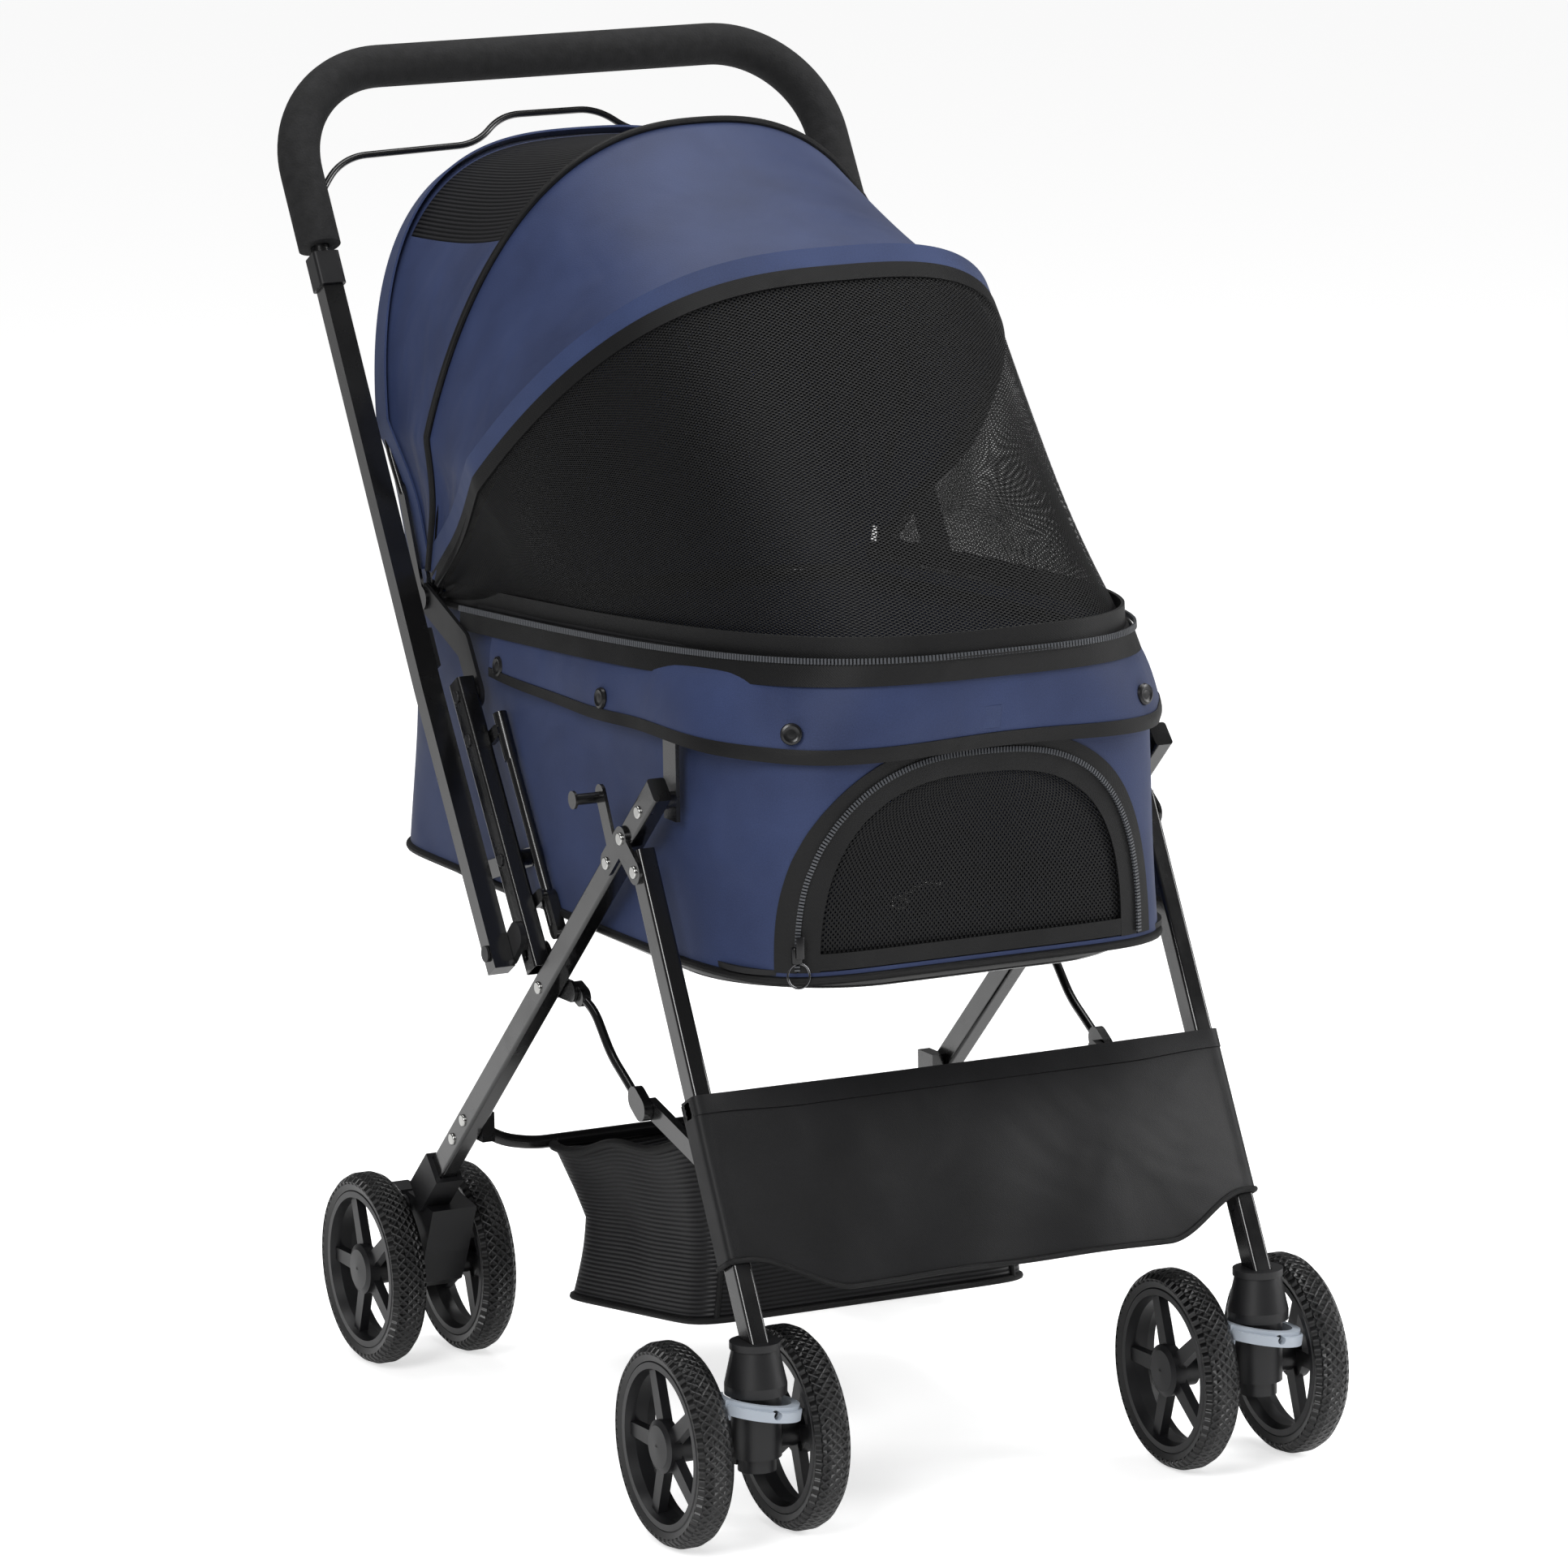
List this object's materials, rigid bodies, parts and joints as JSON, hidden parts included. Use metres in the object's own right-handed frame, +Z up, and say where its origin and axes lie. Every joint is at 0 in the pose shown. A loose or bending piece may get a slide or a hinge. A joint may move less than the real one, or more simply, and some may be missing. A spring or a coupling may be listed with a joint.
{
  "type": "pet stroller",
  "caption": "Folding pet stroller with a fabric carriage and mesh hood, a reversible U-shaped push handle, a storage basket, swivelling front casters and braked rear wheels.",
  "frame": {"origin": "on the floor, under the centre of the bounding box", "axes": "+Z up, -Y towards the front of the stroller, +X to its right side as seen facing the handle"},
  "size_m": [0.518, 0.782, 0.978],
  "materials": {
    "tyre": "matt",
    "black_tube": "gloss",
    "black_plastic": "satin",
    "steel_rivet": "polished",
    "grey_plastic": "satin",
    "foam": "matt foam",
    "navy_fabric": "twill",
    "mesh_fabric": "mesh",
    "cushion_fabric": "padded",
    "board": "flat"
  },
  "bodies": {
    "rear_frame": {"rear_leg_left": "black_tube", "rear_leg_right": "black_tube", "leg_brackets": "black_tube", "frame_rivets": "steel_rivet", "rear_wheel_housings": "black_plastic", "rim_frame": "black_tube", "base_frame": "black_tube", "carriage_body": "navy_fabric", "apron_flap": "navy_fabric", "base_board": "board", "cabin_cushion": "cushion_fabric", "storage_basket": "mesh_fabric", "basket_frame": "black_tube", "hood_hinges": "black_plastic", "rear_bow": "black_tube", "hood_rear_panel": "navy_fabric"},
    "front_frame": {"front_leg_left": "black_tube", "front_leg_right": "black_tube", "footrest_cloth": "navy_fabric", "caster_sockets": "black_plastic", "link_bosses": "black_tube"},
    "post_frame": {"rear_post_left": "black_tube", "rear_post_right": "black_tube", "stay_tubes": "black_tube", "post_fittings": "black_plastic"},
    "handle": {"handle_frame": "black_tube", "foam_grip": "foam", "handle_collars": "black_plastic"},
    "release_lever": {"release_lever": "black_tube"},
    "latch_slides": {"latch_slides": "black_plastic"},
    "curved_struts": {"curved_struts": "black_tube"},
    "link_tubes": {"link_tubes": "black_tube"},
    "mid_bow": {"mid_bow": "black_tube", "hood_front_panel": "navy_fabric"},
    "front_bow": {"front_bow": "black_tube", "windshield_mesh": "mesh_fabric"},
    "windshield_hem": {"windshield_hem": "navy_fabric"},
    "front_door": {"front_door": "navy_fabric"},
    "caster_left": {"caster_left": "black_plastic"},
    "swivel_lock_left": {"swivel_lock_left": "grey_plastic"},
    "brake_pedal_left": {"brake_pedal_left": "black_plastic"},
    "wheel_front_left_outer": {"tyre_front_left_outer": "tyre", "rim_front_left_outer": "black_plastic"},
    "wheel_front_left_inner": {"tyre_front_left_inner": "tyre", "rim_front_left_inner": "black_plastic"},
    "wheel_rear_left_outer": {"tyre_rear_left_outer": "tyre", "rim_rear_left_outer": "black_plastic"},
    "wheel_rear_left_inner": {"tyre_rear_left_inner": "tyre", "rim_rear_left_inner": "black_plastic"},
    "caster_right": {"caster_right": "black_plastic"},
    "swivel_lock_right": {"swivel_lock_right": "grey_plastic"},
    "brake_pedal_right": {"brake_pedal_right": "black_plastic"},
    "wheel_front_right_outer": {"tyre_front_right_outer": "tyre", "rim_front_right_outer": "black_plastic"},
    "wheel_front_right_inner": {"tyre_front_right_inner": "tyre", "rim_front_right_inner": "black_plastic"},
    "wheel_rear_right_outer": {"tyre_rear_right_outer": "tyre", "rim_rear_right_outer": "black_plastic"},
    "wheel_rear_right_inner": {"tyre_rear_right_inner": "tyre", "rim_rear_right_inner": "black_plastic"}
  },
  "joints": [
    {"name": "frame_fold", "type": "hinge", "parent": "rear_frame", "child": "front_frame", "pos_m": [0, -0.19612, 0.45215], "axis": [1, 0, 0], "range_deg": [0, 50], "deforming": ["storage_basket"]},
    {"name": "post_fold", "type": "hinge", "parent": "rear_frame", "child": "post_frame", "pos_m": [0, -0.0084, 0.357], "axis": [1, 0, 0], "range_deg": [0, 72]},
    {"name": "strut_fold", "type": "hinge", "parent": "rear_frame", "child": "curved_struts", "pos_m": [0, -0.0515, 0.337], "axis": [1, 0, 0], "range_deg": [0, 112]},
    {"name": "link_fold", "type": "hinge", "parent": "curved_struts", "child": "link_tubes", "pos_m": [0, -0.157, 0.2715], "axis": [1, 0, 0], "range_deg": [-120, 0]},
    {"name": "handle_flip", "type": "hinge", "parent": "post_frame", "child": "handle", "pos_m": [0, 0.0139, 0.3562], "axis": [-1, 0, 0], "range_deg": [-77, 0]},
    {"name": "lever_slide", "type": "slide", "parent": "handle", "child": "release_lever", "axis": [0, 0.503, 0.8643], "range_m": [0, 0.01], "stiffness_N_per_m": 400},
    {"name": "latch_slide", "type": "slide", "parent": "handle", "child": "latch_slides", "axis": [0, 0.503, 0.8643], "range_m": [0, 0.01]},
    {"name": "hood_fold", "type": "hinge", "parent": "rear_frame", "child": "mid_bow", "pos_m": [0, 0.1915, 0.588], "axis": [1, 0, 0], "range_deg": [-27.5, 0], "deforming": ["hood_rear_panel"]},
    {"name": "hood_front_fold", "type": "hinge", "parent": "mid_bow", "child": "front_bow", "pos_m": [0, 0.1915, 0.588], "axis": [1, 0, 0], "range_deg": [-27.5, 0], "deforming": ["hood_front_panel"]},
    {"name": "windshield_fold", "type": "hinge", "parent": "front_bow", "child": "windshield_hem", "pos_m": [0, 0.1915, 0.588], "axis": [1, 0, 0], "range_deg": [-28, 0], "deforming": ["windshield_mesh"]},
    {"name": "door_open", "type": "hinge", "parent": "rear_frame", "child": "front_door", "pos_m": [0, -0.3202, 0.3963], "axis": [1, 0, 0], "range_deg": [0, 110]},
    {"name": "caster_swivel_left", "type": "hinge", "parent": "front_frame", "child": "caster_left", "pos_m": [-0.2, -0.3565, 0.09], "axis": [0, 0, 1], "continuous": true},
    {"name": "swivel_lock_tilt_left", "type": "hinge", "parent": "caster_left", "child": "swivel_lock_left", "pos_m": [-0.2, -0.3565, 0.104], "axis": [0, 1, 0], "range_deg": [-20, 0]},
    {"name": "brake_press_left", "type": "hinge", "parent": "rear_frame", "child": "brake_pedal_left", "pos_m": [-0.19, 0.214, 0.124], "axis": [1, 0, 0], "range_deg": [-15, 0]},
    {"name": "wheel_front_left_outer_spin", "type": "hinge", "parent": "caster_left", "child": "wheel_front_left_outer", "pos_m": [-0.245, -0.3185, 0.0725], "axis": [1, 0, 0], "continuous": true},
    {"name": "wheel_front_left_inner_spin", "type": "hinge", "parent": "caster_left", "child": "wheel_front_left_inner", "pos_m": [-0.155, -0.3185, 0.0725], "axis": [1, 0, 0], "continuous": true},
    {"name": "wheel_rear_left_outer_spin", "type": "hinge", "parent": "rear_frame", "child": "wheel_rear_left_outer", "pos_m": [-0.227, 0.235, 0.0725], "axis": [1, 0, 0], "continuous": true},
    {"name": "wheel_rear_left_inner_spin", "type": "hinge", "parent": "rear_frame", "child": "wheel_rear_left_inner", "pos_m": [-0.153, 0.235, 0.0725], "axis": [1, 0, 0], "continuous": true},
    {"name": "caster_swivel_right", "type": "hinge", "parent": "front_frame", "child": "caster_right", "pos_m": [0.2, -0.3565, 0.09], "axis": [0, 0, 1], "continuous": true},
    {"name": "swivel_lock_tilt_right", "type": "hinge", "parent": "caster_right", "child": "swivel_lock_right", "pos_m": [0.2, -0.3565, 0.104], "axis": [0, 1, 0], "range_deg": [-20, 0]},
    {"name": "brake_press_right", "type": "hinge", "parent": "rear_frame", "child": "brake_pedal_right", "pos_m": [0.19, 0.214, 0.124], "axis": [1, 0, 0], "range_deg": [-15, 0]},
    {"name": "wheel_front_right_outer_spin", "type": "hinge", "parent": "caster_right", "child": "wheel_front_right_outer", "pos_m": [0.245, -0.3185, 0.0725], "axis": [1, 0, 0], "continuous": true},
    {"name": "wheel_front_right_inner_spin", "type": "hinge", "parent": "caster_right", "child": "wheel_front_right_inner", "pos_m": [0.155, -0.3185, 0.0725], "axis": [1, 0, 0], "continuous": true},
    {"name": "wheel_rear_right_outer_spin", "type": "hinge", "parent": "rear_frame", "child": "wheel_rear_right_outer", "pos_m": [0.227, 0.235, 0.0725], "axis": [1, 0, 0], "continuous": true},
    {"name": "wheel_rear_right_inner_spin", "type": "hinge", "parent": "rear_frame", "child": "wheel_rear_right_inner", "pos_m": [0.153, 0.235, 0.0725], "axis": [1, 0, 0], "continuous": true}
  ],
  "couplings": [
    {"joint": "post_fold", "follows": "frame_fold", "ratio": 1.4},
    {"joint": "strut_fold", "follows": "frame_fold", "ratio": 2.19},
    {"joint": "link_fold", "follows": "frame_fold", "ratio": -2.31},
    {"joint": "latch_slide", "follows": "lever_slide", "ratio": 1},
    {"joint": "hood_front_fold", "follows": "hood_fold", "ratio": 1}
  ]
}
